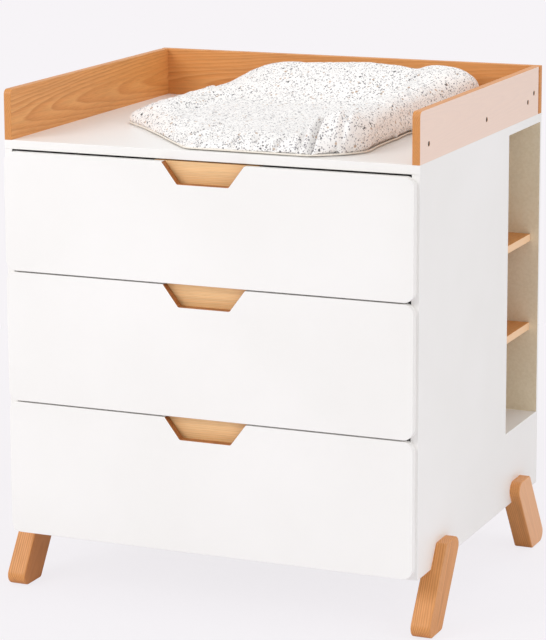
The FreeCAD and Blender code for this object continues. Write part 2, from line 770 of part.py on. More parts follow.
def channel(name, side, web, edge, height, rise):
    """A folded steel member: a web at one distance off the case side, its flanges out to another."""
    turn = "runnerSheet" if web[1] == "in" else "-runnerSheet"
    back = "sideInner - ( %s )" % web[0]
    fold = "sideInner - ( %s ) - ( %s )" % (web[0], turn)
    lip = "sideInner - ( %s )" % edge
    half = "%s / 2" % height
    profile = ((back, "-", "0"), (lip, "-", "0"), (lip, "-", "runnerSheet"), (fold, "-", "runnerSheet"),
               (fold, "+", "runnerSheet"), (lip, "+", "runnerSheet"), (lip, "+", "0"), (back, "+", "0"))
    corners = []
    for across, sign, inset in profile:
        corners.append((at(side, across), "%s %s ( %s - %s )" % (rise, sign, half, inset)))
    return extruded(name, "front", "runnerEnd", corners, "runnerEnd - runnerStart")


def make_runners(level, low):
    """A drawer's three pairs of runner members: on the case, between, and on the drawer."""
    rise = low + " + drawerSideRise + runnerRise"
    members = (
        ("case_runners", ("0", "in"), "outerRunnerDeep", "outerRunnerHeight"),
        ("middle_runners", ("middleRunnerStart", "in"), "middleRunnerStart + middleRunnerDeep",
         "middleRunnerHeight"),
        ("drawer_runners", ("runnerSpace", "out"), "runnerSpace - innerRunnerDeep", "innerRunnerHeight"),
    )
    for member, web, edge, height in members:
        pair = []
        for side_name, side in SIDES.items():
            pair.append(channel("%s_%s_%s" % (level, side_name, member), side, web, edge, height, rise))
        name = "%s_%s" % (level, member)
        node(group(name, pair), name)


def make_drawer(level):
    """Everything that belongs to one drawer."""
    low = level + "FrontLow"
    top = level + "FrontTop"
    make_front(level, low, top)
    make_pull(level, top)
    make_box(level, low, top)
    make_runners(level, low)


# ---------------------------------------------------------------- changing mat


def eased(share):
    """A smooth climb from 0 to 1."""
    share = min(max(share, 0.0), 1.0)
    return share * share * (3 - 2 * share)


def mat_section(along):
    """One cross-section of the mat: flat below, a roll at each side and a crowned middle."""
    half = number("matHalf")
    length = number("matLength")
    edge = number("matEdge")
    roll = number("matRollWidth")
    back = number("matBackRoll")
    left_corner = number("matLeftCorner")
    right_corner = number("matRightCorner")
    cut_share = min(along / number("matLeftCut"), 1)
    left_climb = eased(cut_share)
    right_climb = eased(along / right_corner)
    back_climb = eased((along - length + number("matBackReach")) / number("matBackClimb"))
    tail = 1 - number("matTail") * eased((along - length) / number("matTailLength") + 1)
    side_up = number("matSideUp") + back_climb * (number("matBackSideUp") - number("matSideUp"))
    side_in = number("matSideIn") + back_climb * (number("matBackSideIn") - number("matSideIn"))
    crest = number("matCrest")
    belly = number("matBelly")
    left_belly = number("matLeftBelly")
    left = (1 - cut_share) * left_corner - half
    right = half - (1 - right_climb) * right_corner + back_climb * number("matBackBulge")
    middle = edge + right_climb * (number("matPad") - edge)
    right_roll = edge + right_climb * (number("matRightRoll") - edge)
    left_roll = tail * (edge + left_climb * (number("matLeftRoll") - edge))
    right_roll = tail * (right_roll + back_climb * (back - right_roll))
    left_valley = tail * (middle + back_climb * (number("matLeftSlope") * back - middle))
    middle = tail * (middle + back_climb * (back - number("matCrown") - middle))
    roll = min(roll, number("matRollShare") * (right - left))
    y = number("matStart") + along
    floor = number("caseTop") + number("matLiftGap")

    def spot(x, z):
        return FreeCAD.Vector(x, y, floor + z)

    low_left = spot(left + left_belly * left_roll, 0)
    low_right = spot(right - belly * right_roll, 0)
    side_left = spot(left + number("matLeftSideIn") * left_roll, number("matSideUp") * left_roll)
    side_right = spot(right - side_in * right_roll, side_up * right_roll)
    valley_left = spot(left + roll, left_valley)
    valley_right = spot(right - roll, middle)
    crown = spot((left + right) / 2, middle + number("matCrown"))
    edges = [
        Part.LineSegment(low_left, low_right),
        Part.Arc(low_right, spot(right, belly * right_roll), side_right),
        Part.Arc(side_right, spot(right - crest * roll, right_roll), valley_right),
        Part.Arc(valley_right, crown, valley_left),
        Part.Arc(valley_left, spot(left + number("matLeftCrest") * roll, left_roll), side_left),
        Part.Arc(side_left, spot(left, left_belly * left_roll), low_left),
    ]
    return Part.Wire([edge.toShape() for edge in edges])


def make_mat():
    """A loose mat: a soft middle between two side rolls and a back roll."""
    steps = int(number("matSections"))
    step = number("matLength") / steps
    sections = [mat_section(spot * step) for spot in range(steps + 1)]
    mat = document.addObject("Part::Feature", "changing_mat")
    mat.Shape = Part.makeLoft(sections, True, False)
    mat.Placement = FreeCAD.Placement()
    node(mat, "changing_mat")


# ---------------------------------------------------------------- the whole piece

DRAWERS = ("top", "middle", "bottom")

dowel_hole_group = make_dowels()
cam_hole_group = make_cams()
pin_hole_group = make_pins()
leg_hole_group = make_leg_bolts()
board_holes = group("board_holes", [dowel_hole_group, cam_hole_group, pin_hole_group, leg_hole_group])
guard_holes = group("guard_holes", [dowel_hole_group, cam_hole_group])
make_case(board_holes)
make_niches(board_holes)
make_guards(guard_holes)
for end in ("front", "rear"):
    for side_name in SIDES:
        make_leg(end, side_name, leg_hole_group)
make_glides()
for level in DRAWERS:
    make_drawer(level)
make_mat()
document.recompute()

for item in document.Objects:
    if "Invalid" in item.State or "Error" in item.State:
        raise RuntimeError("%s could not be made: %s" % (item.Label, item.State))
for item in NODES:
    if item.Shape.isNull() or not item.Shape.isValid() or not item.Shape.Solids:
        raise RuntimeError("%s has no sound solid" % item.Label)

os.makedirs("parts", exist_ok=True)
for item in NODES:
    item.Shape.exportStep("parts/%s.step" % item.Label)
    box = item.Shape.BoundBox
    print("%-28s %2d solids  x %7.1f..%7.1f  y %7.1f..%7.1f  z %7.1f..%7.1f" % (
        item.Label, len(item.Shape.Solids), box.XMin, box.XMax, box.YMin, box.YMax, box.ZMin, box.ZMax))
print("%d pieces" % len(NODES))
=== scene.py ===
"""The looks of a baby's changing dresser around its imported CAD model.

Every length is in metres unless a name ends in _mm. +X is the right side, -Y the front, +Z up, and the
floor is at zero.
"""

import logging
import math
from dataclasses import dataclass, field, replace
from enum import Enum
from typing import List, Mapping, Optional, Sequence, Tuple, Union

import bmesh
import bpy
from mathutils import Euler, Matrix, Vector
from mathutils.noise import noise


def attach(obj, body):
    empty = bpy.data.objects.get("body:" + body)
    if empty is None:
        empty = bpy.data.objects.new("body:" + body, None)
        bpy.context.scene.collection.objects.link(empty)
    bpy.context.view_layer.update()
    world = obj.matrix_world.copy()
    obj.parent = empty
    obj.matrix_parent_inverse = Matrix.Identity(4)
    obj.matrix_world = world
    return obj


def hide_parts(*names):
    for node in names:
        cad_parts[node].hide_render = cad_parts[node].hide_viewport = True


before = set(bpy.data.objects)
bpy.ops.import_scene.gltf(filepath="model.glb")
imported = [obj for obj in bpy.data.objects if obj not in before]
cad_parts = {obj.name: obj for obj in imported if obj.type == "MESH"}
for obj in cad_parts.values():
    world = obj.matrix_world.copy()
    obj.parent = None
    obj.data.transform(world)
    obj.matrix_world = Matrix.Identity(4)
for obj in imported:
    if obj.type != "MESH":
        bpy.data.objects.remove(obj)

logging.basicConfig(level=logging.INFO, format="%(message)s")
LOG = logging.getLogger("changing_dresser")

Colour = Tuple[float, float, float, float]
Triple = Tuple[float, float, float]
Node = bpy.types.Node
Inputs = Mapping[Union[int, str], object]

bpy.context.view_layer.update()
MM = 0.001
# A wave texture of scale 1 repeats after this length.
WAVE = 2 * math.pi / 20.0


# ---------------------------------------------------------------- colours and shader graphs


def hex_colour(text: str) -> Colour:
    """Turn an sRGB hex colour into the linear colour that a shader takes.

    Args:
        text: Six hex digits, with or without a leading hash.

    Returns:
        Red, green, blue and alpha, linear.
    """
    digits = text.lstrip("#")
    linear = []
    for start in (0, 2, 4):
        value = int(digits[start:start + 2], 16) / 255.0
        linear.append(value / 12.92 if value <= 0.04045 else ((value + 0.055) / 1.055) ** 2.4)
    return (linear[0], linear[1], linear[2], 1.0)


class Graph:
    """The node tree of a material or a world, with one function that fills it."""

    def __init__(self, owner: bpy.types.ID) -> None:
        """Empty the owner's node tree.

        Args:
            owner: The material or world.
        """
        owner.use_nodes = True
        self.owner = owner
        self.tree = owner.node_tree
        self.tree.nodes.clear()

    def node(self, kind: str, inputs: Optional[Inputs] = None,
             stops: Sequence[Tuple[float, Union[str, float]]] = (), **settings: object) -> Node:
        """Add a node with its properties, its colour stops and its inputs.

        Args:
            kind: The node's Blender type without the word ShaderNode before it.
            inputs: Input name or number, to what fill() takes.
            stops: Place and tone of each stop of a colour ramp, as a hex colour or a number for a grey.
            **settings: Properties of the node.

        Returns:
            The new node.
        """
        made = self.tree.nodes.new("ShaderNode" + kind)
        for name, value in settings.items():
            setattr(made, name, value)
        if stops:
            elements = made.color_ramp.elements
            while len(elements) < len(stops):
                elements.new(0.5)
            for element, (place, tone) in zip(elements, stops):
                element.position = place
                element.color = hex_colour(tone) if isinstance(tone, str) else (tone, tone, tone, 1.0)
        self.fill(made, inputs or {})
        return made

    def fill(self, node: Node, inputs: Inputs) -> None:
        """Set a node's inputs.

        Args:
            node: The node.
            inputs: Input name or number, to a value, a hex colour, a (node, output) pair, or a node alone,
                which stands for its first output.
        """
        for name, value in inputs.items():
            if isinstance(value, Node):
                self.tree.links.new(value.outputs[0], node.inputs[name])
            elif isinstance(value, tuple) and isinstance(value[0], Node):
                self.tree.links.new(value[0].outputs[value[1]], node.inputs[name])
            else:
                node.inputs[name].default_value = hex_colour(value) if isinstance(value, str) else value


class Surface(Graph):
    """A material's graph: a Principled shader and patterns on the object's own coordinates."""

    def __init__(self, name: str) -> None:
        """Make the material with its shader.

        Args:
            name: The material's name.
        """
        super().__init__(bpy.data.materials.new(name))
        self.shader = self.node("BsdfPrincipled")
        self.output = self.node("OutputMaterial", {"Surface": self.shader})
        self.place = self.node("TexCoord")

    def scaled(self, size_mm: Union[float, Triple], turn: Triple = (0.0, 0.0, 0.0),
               shift: Triple = (0.0, 0.0, 0.0)) -> Node:
        """Object coordinates moved, turned and scaled, so that a pattern has its real size.

        Args:
            size_mm: Size of the pattern along each axis, after the turn, or one size for all three.
            turn: Rotation in radians.
            shift: Offset in metres, before the turn.

        Returns:
            The node that holds the coordinates.
        """
        sizes = size_mm if isinstance(size_mm, tuple) else (size_mm, size_mm, size_mm)
        scale = tuple(1.0 / (size * MM) for size in sizes)
        moved = self.node("VectorMath", {0: (self.place, "Object"), 1: shift}, operation="ADD")
        turned = self.node("VectorRotate", {"Vector": moved, "Rotation": turn}, rotation_type="EULER_XYZ")
        mapped = self.node("Mapping", {"Vector": turned, "Scale": scale}, vector_type="POINT")
        return mapped

    def finish(self, inputs: Inputs) -> bpy.types.Material:
        """Fill the shader's own sockets and hand the material over.

        Args:
            inputs: Socket name, to a value or to a (node, output) pair.

        Returns:
            The finished material.
        """
        self.fill(self.shader, inputs)
        return self.owner


# ---------------------------------------------------------------- finishes


class Grain(Enum):
    """Which way the grain of a timber piece runs: the turn that brings it onto X."""

    ALONG_X = (0.0, 0.0, 0.0)
    ALONG_Y = (0.0, 0.0, -math.pi / 2)
    ALONG_Z = (0.0, math.pi / 2, 0.0)


@dataclass(frozen=True)
class OiledOak:
    """Oiled oak: growth rings cut at a slant into cathedrals, fine pores and slow changes of tone.

    Attributes:
        turn: The turn that brings the grain onto X.
        heart: A point on the centre line of the log that the board was sawn from.
        pale, middle, deep: Early wood, the wood's main tone and late wood.
        ring_mm: Width of a growth ring.
        slant: How far the board was sawn off the log's line, in radians.
        outer: Tone of a painted highlight on the faces that look out to the sides.
        highlight_share: How much of that painted highlight they take.
        inner: Tone of painted shade on the faces that look in; the end grain is deepened towards it as well.
        shade_share: How much of that painted shade they take.
        end_share: How much deeper the end grain is, which drinks more oil.
        roughness: Roughness between the pores.
        pore_roughness: How much rougher the pores are.
        log_mm: Scale of the log; the rings are drawn out along it.
        bend_mm: Size of the rings' bends, along and across the grain.
        bend: How far the rings bend.
        cloud_mm: Size of the slow changes of tone, along and across.
        streak_mm: Size of the streaks, along and across.
        pore_mm: Size of the pores, along and across, wider than real ones so that they show.
        pore_depth_mm: Depth of the pores.
    """

    name: str
    turn: Triple = Grain.ALONG_X.value
    heart: Triple = (0.0, 0.0, 0.0)
    pale: str = "#e7a866"
    middle: str = "#dd9652"
    deep: str = "#ca803f"
    ring_mm: float = 3.8
    slant: float = 0.03
    outer: str = "#e29c58"
    highlight_share: float = 0.0
    inner: str = "#c07a3e"
    shade_share: float = 0.0
    end_share: float = 0.3
    roughness: float = 0.42
    pore_roughness: float = 0.14
    log_mm: Triple = (11111.0, 1000.0, 1000.0)
    bend_mm: Triple = (625.0, 111.1, 111.1)
    bend: float = 0.016
    cloud_mm: Triple = (714.3, 35.71, 35.71)
    streak_mm: Triple = (400.0, 5.263, 5.263)
    pore_mm: Triple = (38.46, 1.613, 1.613)
    pore_depth_mm: float = 0.12

    def material(self) -> bpy.types.Material:
        """Build the material.

        Returns:
            The material.
        """
        surface = Surface(self.name)
        turn = (self.turn[0], self.turn[1] + self.slant, self.turn[2] + self.slant)
        growth = self.grown(surface, turn)
        tone = self.speckled(surface, self.cloud_mm, turn, 0.5)
        share = surface.node("ValToRGB", {"Fac": tone}, [(0.35, 0.15), (0.7, 0.85)])
        oiled = surface.node("MixRGB", {"Fac": share, "Color1": growth, "Color2": self.middle})
        streak = self.speckled(surface, self.streak_mm, turn, 0.6)
        fibre = self.speckled(surface, self.pore_mm, turn, 0.65)
        for lines, stops in ((streak, [(0.38, 0.86), (0.56, 1.0)]),
                             (fibre, [(0.36, 0.84), (0.52, 1.0)])):
            dark = surface.node("ValToRGB", {"Fac": lines}, stops)
            oiled = surface.node("MixRGB", {"Fac": 0.6, "Color1": oiled,
                                            "Color2": dark}, blend_type="MULTIPLY")
        with_painted_light = self.with_painted_light(surface, oiled) if self.highlight_share or self.shade_share else oiled
        sheen = surface.node("ValToRGB", {"Fac": fibre},
                             [(0.3, self.roughness + self.pore_roughness), (0.65, self.roughness)])
        relief = surface.node("Bump", {"Height": fibre, "Distance": self.pore_depth_mm * MM, "Strength": 0.5})
        return surface.finish({"Base Color": self.ended(surface, with_painted_light), "Roughness": sheen, "Normal": relief,
                               "IOR": 1.47, "Specular IOR Level": 0.5})

    def grown(self, surface: Surface, turn: Triple) -> Node:
        """The growth rings round the log's heart.

        Args:
            surface: The material's graph.
            turn: The turn that brings the log's line onto X.

        Returns:
            The node with their colour.
        """
        from_heart = tuple(-value for value in self.heart)
        log = surface.scaled(self.log_mm, turn, from_heart)
        bends = surface.scaled(self.bend_mm, turn, from_heart)
        warp = surface.node("TexNoise", {"Vector": bends, "Scale": 1.0, "Detail": 3.0})
        drift = surface.node("VectorMath", {0: (warp, "Color"), 1: (0.5, 0.5, 0.5)}, operation="SUBTRACT")
        push = surface.node("VectorMath", {0: drift, 1: (self.bend,) * 3}, operation="MULTIPLY")
        bent = surface.node("VectorMath", {0: log, 1: push}, operation="ADD")
        rings = surface.node("TexWave", {"Vector": bent, "Scale": WAVE / (self.ring_mm * MM),
                                         "Distortion": 0.8, "Detail": 2.0, "Detail Scale": 0.5},
                             wave_type="RINGS", rings_direction="X", wave_profile="SAW")
        return surface.node("ValToRGB", {"Fac": (rings, "Fac")},
                            [(0.0, self.pale), (0.5, self.middle), (0.88, self.deep), (1.0, self.pale)])

    def speckled(self, surface: Surface, size_mm: Triple, turn: Triple, rough: float) -> Node:
        """Fine marks drawn out along the grain.

        Args:
            surface: The material's graph.
            size_mm: The marks' size, along and across.
            turn: The turn that brings the grain onto X.
            rough: How strong their finer parts are.

        Returns:
            The node with their strength.
        """
        return surface.node("TexNoise", {"Vector": surface.scaled(size_mm, turn), "Scale": 1.0,
                                         "Detail": 3.0, "Roughness": rough})

    def with_painted_light(self, surface: Surface, oiled: Node) -> Node:
        """Lighten the faces that look out to the sides as a painted highlight, and darken the ones that look
        in as painted shade.

        Args:
            surface: The material's graph.
            oiled: The node with the oiled wood's colour.

        Returns:
            The node with the colour and its painted highlight and shade.
        """
        across = surface.node("SeparateXYZ", {"Vector": (surface.place, "Object")})
        normal = surface.node("SeparateXYZ", {"Vector": (surface.place, "Normal")})
        side = surface.node("Math", {0: (across, "X")}, operation="SIGN")
        outward = surface.node("Math", {0: side, 1: (normal, "X")}, operation="MULTIPLY")
        inward = surface.node("Math", {0: outward, 1: -1.0}, operation="MULTIPLY")
        # Painted highlight on the outward faces, painted shade on the inward ones.
        for facing, start, share, tone in ((outward, 0.55, self.highlight_share, self.outer),
                                           (inward, 0.4, self.shade_share, self.inner)):
            cover = surface.node("ValToRGB", {"Fac": facing}, [(start, 0.0), (0.9, share)])
            oiled = surface.node("MixRGB", {"Fac": cover, "Color1": oiled, "Color2": tone})
        return oiled

    def ended(self, surface: Surface, with_painted_light: Node) -> Node:
        """Deepen the end grain.

        Args:
            surface: The material's graph.
            with_painted_light: The node with the colour so far.

        Returns:
            The node with the final colour.
        """
        along = surface.node("VectorRotate", {"Vector": (surface.place, "Normal"), "Rotation": self.turn},
                             rotation_type="EULER_XYZ")
        parts = surface.node("SeparateXYZ", {"Vector": along})
        facing = surface.node("Math", {0: (parts, "X")}, operation="ABSOLUTE")
        share = surface.node("ValToRGB", {"Fac": facing}, [(0.75, 0.0), (0.95, self.end_share)])
        return surface.node("MixRGB", {"Fac": share, "Color1": with_painted_light, "Color2": self.inner})


@dataclass(frozen=True)
class SatinLacquer:
    """White satin lacquer on board, with the faint orange peel that a spray gun leaves.

    Attributes:
        shade: Tone of the lacquer's thinner places.
        cloud_mm: Size of those places.
        peel_mm: Size of the orange peel's dimples, wider than real ones so that they show.
        peel_depth_mm: Depth of the dimples.
    """

    name: str = "white satin lacquer on board"
    colour: str = "#f8f6f4"
    shade: str = "#f3f1ee"
    roughness: float = 0.34
    cloud_mm: float = 333.3
    peel_mm: float = 3.846
    peel_depth_mm: float = 0.02

    def material(self) -> bpy.types.Material:
        """Build the material.

        Returns:
            The material.
        """
        surface = Surface(self.name)
        cloud = surface.node("TexNoise", {"Vector": surface.scaled(self.cloud_mm), "Scale": 1.0,
                                          "Detail": 3.0})
        tone = surface.node("ValToRGB", {"Fac": cloud}, [(0.3, self.shade), (0.7, self.colour)])
        cover = self.over(surface, tone)
        gloss = surface.node("ValToRGB", {"Fac": cloud},
                             [(0.3, self.roughness + 0.05), (0.7, self.roughness)])
        peel = surface.node("TexNoise", {"Vector": surface.scaled(self.peel_mm), "Scale": 1.0, "Detail": 1.0})
        relief = surface.node("Bump", {"Height": peel, "Distance": self.peel_depth_mm * MM, "Strength": 0.35})
        return surface.finish({"Base Color": cover, "Roughness": gloss, "Normal": relief, "IOR": 1.5})

    def over(self, surface: Surface, tone: Node) -> Node:
        """What lies over part of the lacquer's colour, oak or painted shade; nothing on a plain board."""
        return tone


@dataclass(frozen=True)
class NotchedLacquer(SatinLacquer):
    """The same lacquer on a drawer front, whose finger notch is lipped with oak, deepened as painted shade
    along the notch.

    Attributes:
        lip, lip_deep: The lipping's oak tone and that of its grain, both deepened as painted shade.
        notch_half: Half the notch's width.
        upward: How far up a face of the notch looks, from 0 to 1, to be lipped.
        grain_mm: Size of the lipping's grain, along and across.
    """

    name: str = "white satin lacquer with an oak lipped notch"
    lip: str = "#b9743c"
    lip_deep: str = "#8a4f22"
    notch_half: float = 0.0862
    upward: float = 0.25
    grain_mm: Triple = (16.67, 2.0, 2.0)

    def over(self, surface: Surface, tone: Node) -> Node:
        """Lay the oak lipping, deepened as painted shade, on the notch's upward faces.

        Args:
            surface: The material's graph.
            tone: The node with the lacquer's colour.

        Returns:
            The node with the colour of both.
        """
        place = surface.node("SeparateXYZ", {"Vector": (surface.place, "Object")})
        normal = surface.node("SeparateXYZ", {"Vector": (surface.place, "Normal")})
        off_middle = surface.node("Math", {0: (place, "X")}, operation="ABSOLUTE")
        within = surface.node("Math", {0: off_middle, 1: self.notch_half}, operation="LESS_THAN")
        facing_up = surface.node("Math", {0: (normal, "Z"), 1: self.upward}, operation="GREATER_THAN")
        share = surface.node("Math", {0: within, 1: facing_up}, operation="MULTIPLY")
        grain = surface.node("TexNoise", {"Vector": surface.scaled(self.grain_mm), "Scale": 1.0})
        # Dark oak brown: partly the lipping's own colour, partly painted shade along the notch's edges.
        oak = surface.node("ValToRGB", {"Fac": grain}, [(0.35, self.lip_deep), (0.65, self.lip)])
        return surface.node("MixRGB", {"Fac": share, "Color1": tone, "Color2": oak})


@dataclass(frozen=True)
class NicheLacquer(SatinLacquer):
    """The same lacquer on a board whose face inside a niche is painted a warm beige, as painted shade tinted
    by bounce light.

    Attributes:
        painted_bounce, painted_bounce_deep: The painted warm shade's tone and that of its specks.
        speck_mm: Size of the specks.
        facing: Which way the painted face looks; all faces are painted where it is zero.
        square: How squarely a face looks that way, from 0 to 1, to be painted.
    """

    name: str = "white satin lacquer with a warm melamine inside"
    painted_bounce: str = "#f3e6cb"
    painted_bounce_deep: str = "#eddfc2"
    speck_mm: float = 5.556
    facing: Triple = (0.0, 0.0, 0.0)
    square: float = 0.8

    def over(self, surface: Surface, tone: Node) -> Node:
        """Lay the warm painted shade on the faces that look the given way, or on all where none is given.

        Args:
            surface: The material's graph.
            tone: The node with the lacquer's colour.

        Returns:
            The node with the colour of both.
        """
        speck = surface.node("TexNoise", {"Vector": surface.scaled(self.speck_mm), "Scale": 1.0})
        # A warm beige: painted shade tinted by bounce light inside the niche.
        warm_shade = surface.node("ValToRGB", {"Fac": speck}, [(0.35, self.painted_bounce_deep), (0.65, self.painted_bounce)])
        if not any(self.facing):
            return warm_shade
        toward = surface.node("VectorMath", {0: (surface.place, "Normal"), 1: self.facing},
                              operation="DOT_PRODUCT")
        share = surface.node("Math", {0: (toward, "Value"), 1: self.square}, operation="GREATER_THAN")
        return surface.node("MixRGB", {"Fac": share, "Color1": tone, "Color2": warm_shade})


@dataclass(frozen=True)
class Mottled:
    """A finish of two tones, mottled by one fine pattern that is its relief as well.

    Attributes:
        pale, dark: Tones of the raised and the sunk places.
        mark_mm: Size of the marks along each axis, coarser than real ones so that they show.
        roughness: Roughness of the raised places.
        dulled: How much rougher the sunk places are.
        stops: Strength of the pattern where each tone is full.
        detail, rough: How many finer layers the pattern has, and how strong they are.
        depth_mm, relief: Depth of the relief, and how much of it shows.
        metallic: One for bare metal.
        fuzz: How much loose fibre stands on it.
    """

    name: str
    pale: str
    dark: str
    mark_mm: Triple
    roughness: float
    dulled: float = 0.0
    stops: Tuple[float, float] = (0.3, 0.7)
    detail: float = 2.0
    rough: float = 0.5
    depth_mm: float = 0.03
    relief: float = 0.4
    metallic: float = 0.0
    fuzz: float = 0.0

    def material(self) -> bpy.types.Material:
        """Build the material.

        Returns:
            The material.
        """
        surface = Surface(self.name)
        marks = surface.node("TexNoise", {"Vector": surface.scaled(self.mark_mm), "Scale": 1.0,
                                          "Detail": self.detail, "Roughness": self.rough})
        low, high = self.stops
        tone = surface.node("ValToRGB", {"Fac": marks}, [(low, self.dark), (high, self.pale)])
        roughness = self.roughness
        if self.dulled:
            gloss = surface.node("ValToRGB", {"Fac": marks},
                                 [(low, self.roughness + self.dulled), (high, self.roughness)])
            roughness = gloss
        bump = surface.node("Bump", {"Height": marks, "Distance": self.depth_mm * MM,
                                     "Strength": self.relief})
        return surface.finish({"Base Color": tone, "Roughness": roughness,
                               "Normal": bump, "Metallic": self.metallic,
                               "Sheen Weight": self.fuzz})


@dataclass(frozen=True)
class FoilBoard(Mottled):
    """Drawer board wrapped in a pale foil with a faint printed linen grain."""

    name: str = "foil wrapped drawer board"
    pale: str = "#efece6"
    dark: str = "#e2ddd4"
    mark_mm: Triple = (2.38, 16.67, 2.38)
    roughness: float = 0.5
    stops: Tuple[float, float] = (0.35, 0.62)


@dataclass(frozen=True)
class Metal(Mottled):
    """Bare or plated metal with fine marks, duller where they are deep."""

    dulled: float = 0.12
    detail: float = 3.0
    depth_mm: float = 0.02
    metallic: float = 1.0


@dataclass(frozen=True)
class PressedFelt(Mottled):
    """Dark pressed felt under the feet, fluffy and without any shine."""

    name: str = "pressed wool felt"
    pale: str = "#6a645e"
    dark: str = "#3d3935"
    mark_mm: Triple = (1.111, 1.111, 1.111)
    roughness: float = 0.95
    detail: float = 4.0
    rough: float = 0.7
    depth_mm: float = 0.3
    relief: float = 0.8
    fuzz: float = 0.3


@dataclass(frozen=True)
class PlainBeech(Mottled):
    """Turned beech dowel with short darker flecks along it."""

    name: str = "plain beech dowel"
    pale: str = "#dfb98c"
    dark: str = "#c9986a"
    mark_mm: Triple = (3.333, 3.333, 11.11)
    roughness: float = 0.6
    stops: Tuple[float, float] = (0.35, 0.6)
    detail: float = 3.0
    depth_mm: float = 0.05
    relief: float = 0.5


@dataclass(frozen=True)
class CottonTape(Mottled):
    """Cream cotton piping round the mat's lower edge, with a fine twill."""

    name: str = "cream cotton piping"
    pale: str = "#faf4ea"
    dark: str = "#efe6d8"
    mark_mm: Triple = (1.4286, 1.4286, 4.0)
    roughness: float = 0.85
    stops: Tuple[float, float] = (0.35, 0.6)
    depth_mm: float = 0.1
    relief: float = 0.6
    fuzz: float = 0.2


@dataclass(frozen=True)
class Fleck:
    """One size of printed fleck on the mat's cotton.

    Attributes:
        cell_mm: Size of the cell that holds one fleck.
        radius: How much of a cell the largest fleck adds to the smallest.
        share: Share of the cells that hold a fleck.
        dark, pale: The darkest and the palest ink.
        seed: Turn and shift that keep the sizes of fleck apart.
    """

    cell_mm: float
    radius: float
    share: float
    dark: str
    pale: str
    seed: float


@dataclass(frozen=True)
class SpeckledCotton:
    """White cotton with a plain weave, printed all over with small grey, black and sand flecks.

    Attributes:
        ground: The cloth's own tone.
        thread_mm: Width of a thread, drawn wider than real ones so that the weave shows.
        thread_depth_mm: Depth of the weave.
        ragged_mm: Size of the uneven places on the flecks' outlines.
        ragged: How uneven they are, as a share of a cell.
        least: Radius of the smallest fleck, as a share of what the largest adds to it.
        flecks: The sizes of fleck, in the order of printing.
    """

    name: str = "speckled cotton over foam"
    ground: str = "#fdfbf9"
    thread_mm: float = 0.9
    thread_depth_mm: float = 0.06
    ragged_mm: float = 2.38
    ragged: float = 0.55
    least: float = 0.6
    flecks: Tuple[Fleck, ...] = (
        Fleck(3.8, 0.27, 0.84, "#84828a", "#c6c3c2", 0.0),
        Fleck(5.4, 0.25, 0.62, "#55545a", "#a2a0a4", 3.1),
        Fleck(9.0, 0.22, 0.26, "#b79a83", "#dac8b8", 7.7),
        Fleck(12.0, 0.17, 0.32, "#2e2d31", "#545358", 12.9),
    )

    def material(self) -> bpy.types.Material:
        """Build the material.

        Returns:
            The material.
        """
        surface = Surface(self.name)
        uneven = surface.node("TexNoise", {"Vector": surface.scaled(self.ragged_mm), "Scale": 1.0})
        centred = surface.node("VectorMath", {0: (uneven, "Color"), 1: (0.5, 0.5, 0.5)}, operation="SUBTRACT")
        colour = self.ground
        for fleck in self.flecks:
            colour = self.printed(surface, fleck, centred, colour)
        threads = []
        for direction in ("X", "Y"):
            threads.append(surface.node("TexWave", {"Vector": (surface.place, "Object"),
                                                    "Scale": WAVE / (self.thread_mm * MM)},
                                        wave_type="BANDS", bands_direction=direction))
        weave = surface.node("Math", {0: (threads[0], "Fac"), 1: (threads[1], "Fac")}, operation="ADD")
        relief = surface.node("Bump", {"Height": weave, "Distance": self.thread_depth_mm * MM,
                                       "Strength": 0.5})
        return surface.finish({"Base Color": colour, "Normal": relief, "Roughness": 0.85,
                               "Sheen Weight": 0.25, "Sheen Roughness": 0.5})

    def printed(self, surface: Surface, fleck: Fleck, ragged: Node,
                colour: Union[str, Node]) -> Node:
        """Print one size of fleck over what is there.

        Args:
            surface: The material's graph.
            fleck: The fleck's size, share and colours.
            ragged: Noise that makes the flecks' outlines uneven.
            colour: The cloth so far, as a hex colour or a node.

        Returns:
            The node with the colour of both.
        """
        spots = surface.scaled(fleck.cell_mm, (fleck.seed, 0.4 * fleck.seed, 0.0), (fleck.seed, 0.0, 0.0))
        wobble = surface.node("VectorMath", {0: ragged, 1: (self.ragged,) * 3}, operation="MULTIPLY")
        uneven = surface.node("VectorMath", {0: spots, 1: wobble}, operation="ADD")
        cell = surface.node("TexVoronoi", {"Vector": uneven, "Scale": 1.0})
        parts = surface.node("SeparateColor", {"Color": (cell, "Color")})
        present = surface.node("Math", {0: (parts, "Red"), 1: fleck.share}, operation="LESS_THAN")
        reach = surface.node("Math", {0: (parts, "Green"), 1: fleck.radius}, operation="MULTIPLY")
        wide = surface.node("Math", {0: reach, 1: fleck.radius * self.least}, operation="ADD")
        inside = surface.node("Math", {0: (cell, "Distance"), 1: wide}, operation="LESS_THAN")
        ink = surface.node("Math", {0: present, 1: inside}, operation="MULTIPLY")
        shade = surface.node("ValToRGB", {"Fac": (parts, "Blue")}, [(0.0, fleck.dark), (1.0, fleck.pale)])
        return surface.node("MixRGB", {"Fac": ink, "Color1": colour, "Color2": shade})


# ---------------------------------------------------------------- sub-assemblies of the fixed frame


def dress(node: str, finish: bpy.types.Material) -> None:
    """Give every material slot of a CAD node one finish.

    Args:
        node: The node's name.
        finish: The material.
    """
    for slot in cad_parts[node].material_slots:
        slot.material = finish
    LOG.info("%s: %s", node, finish.name)


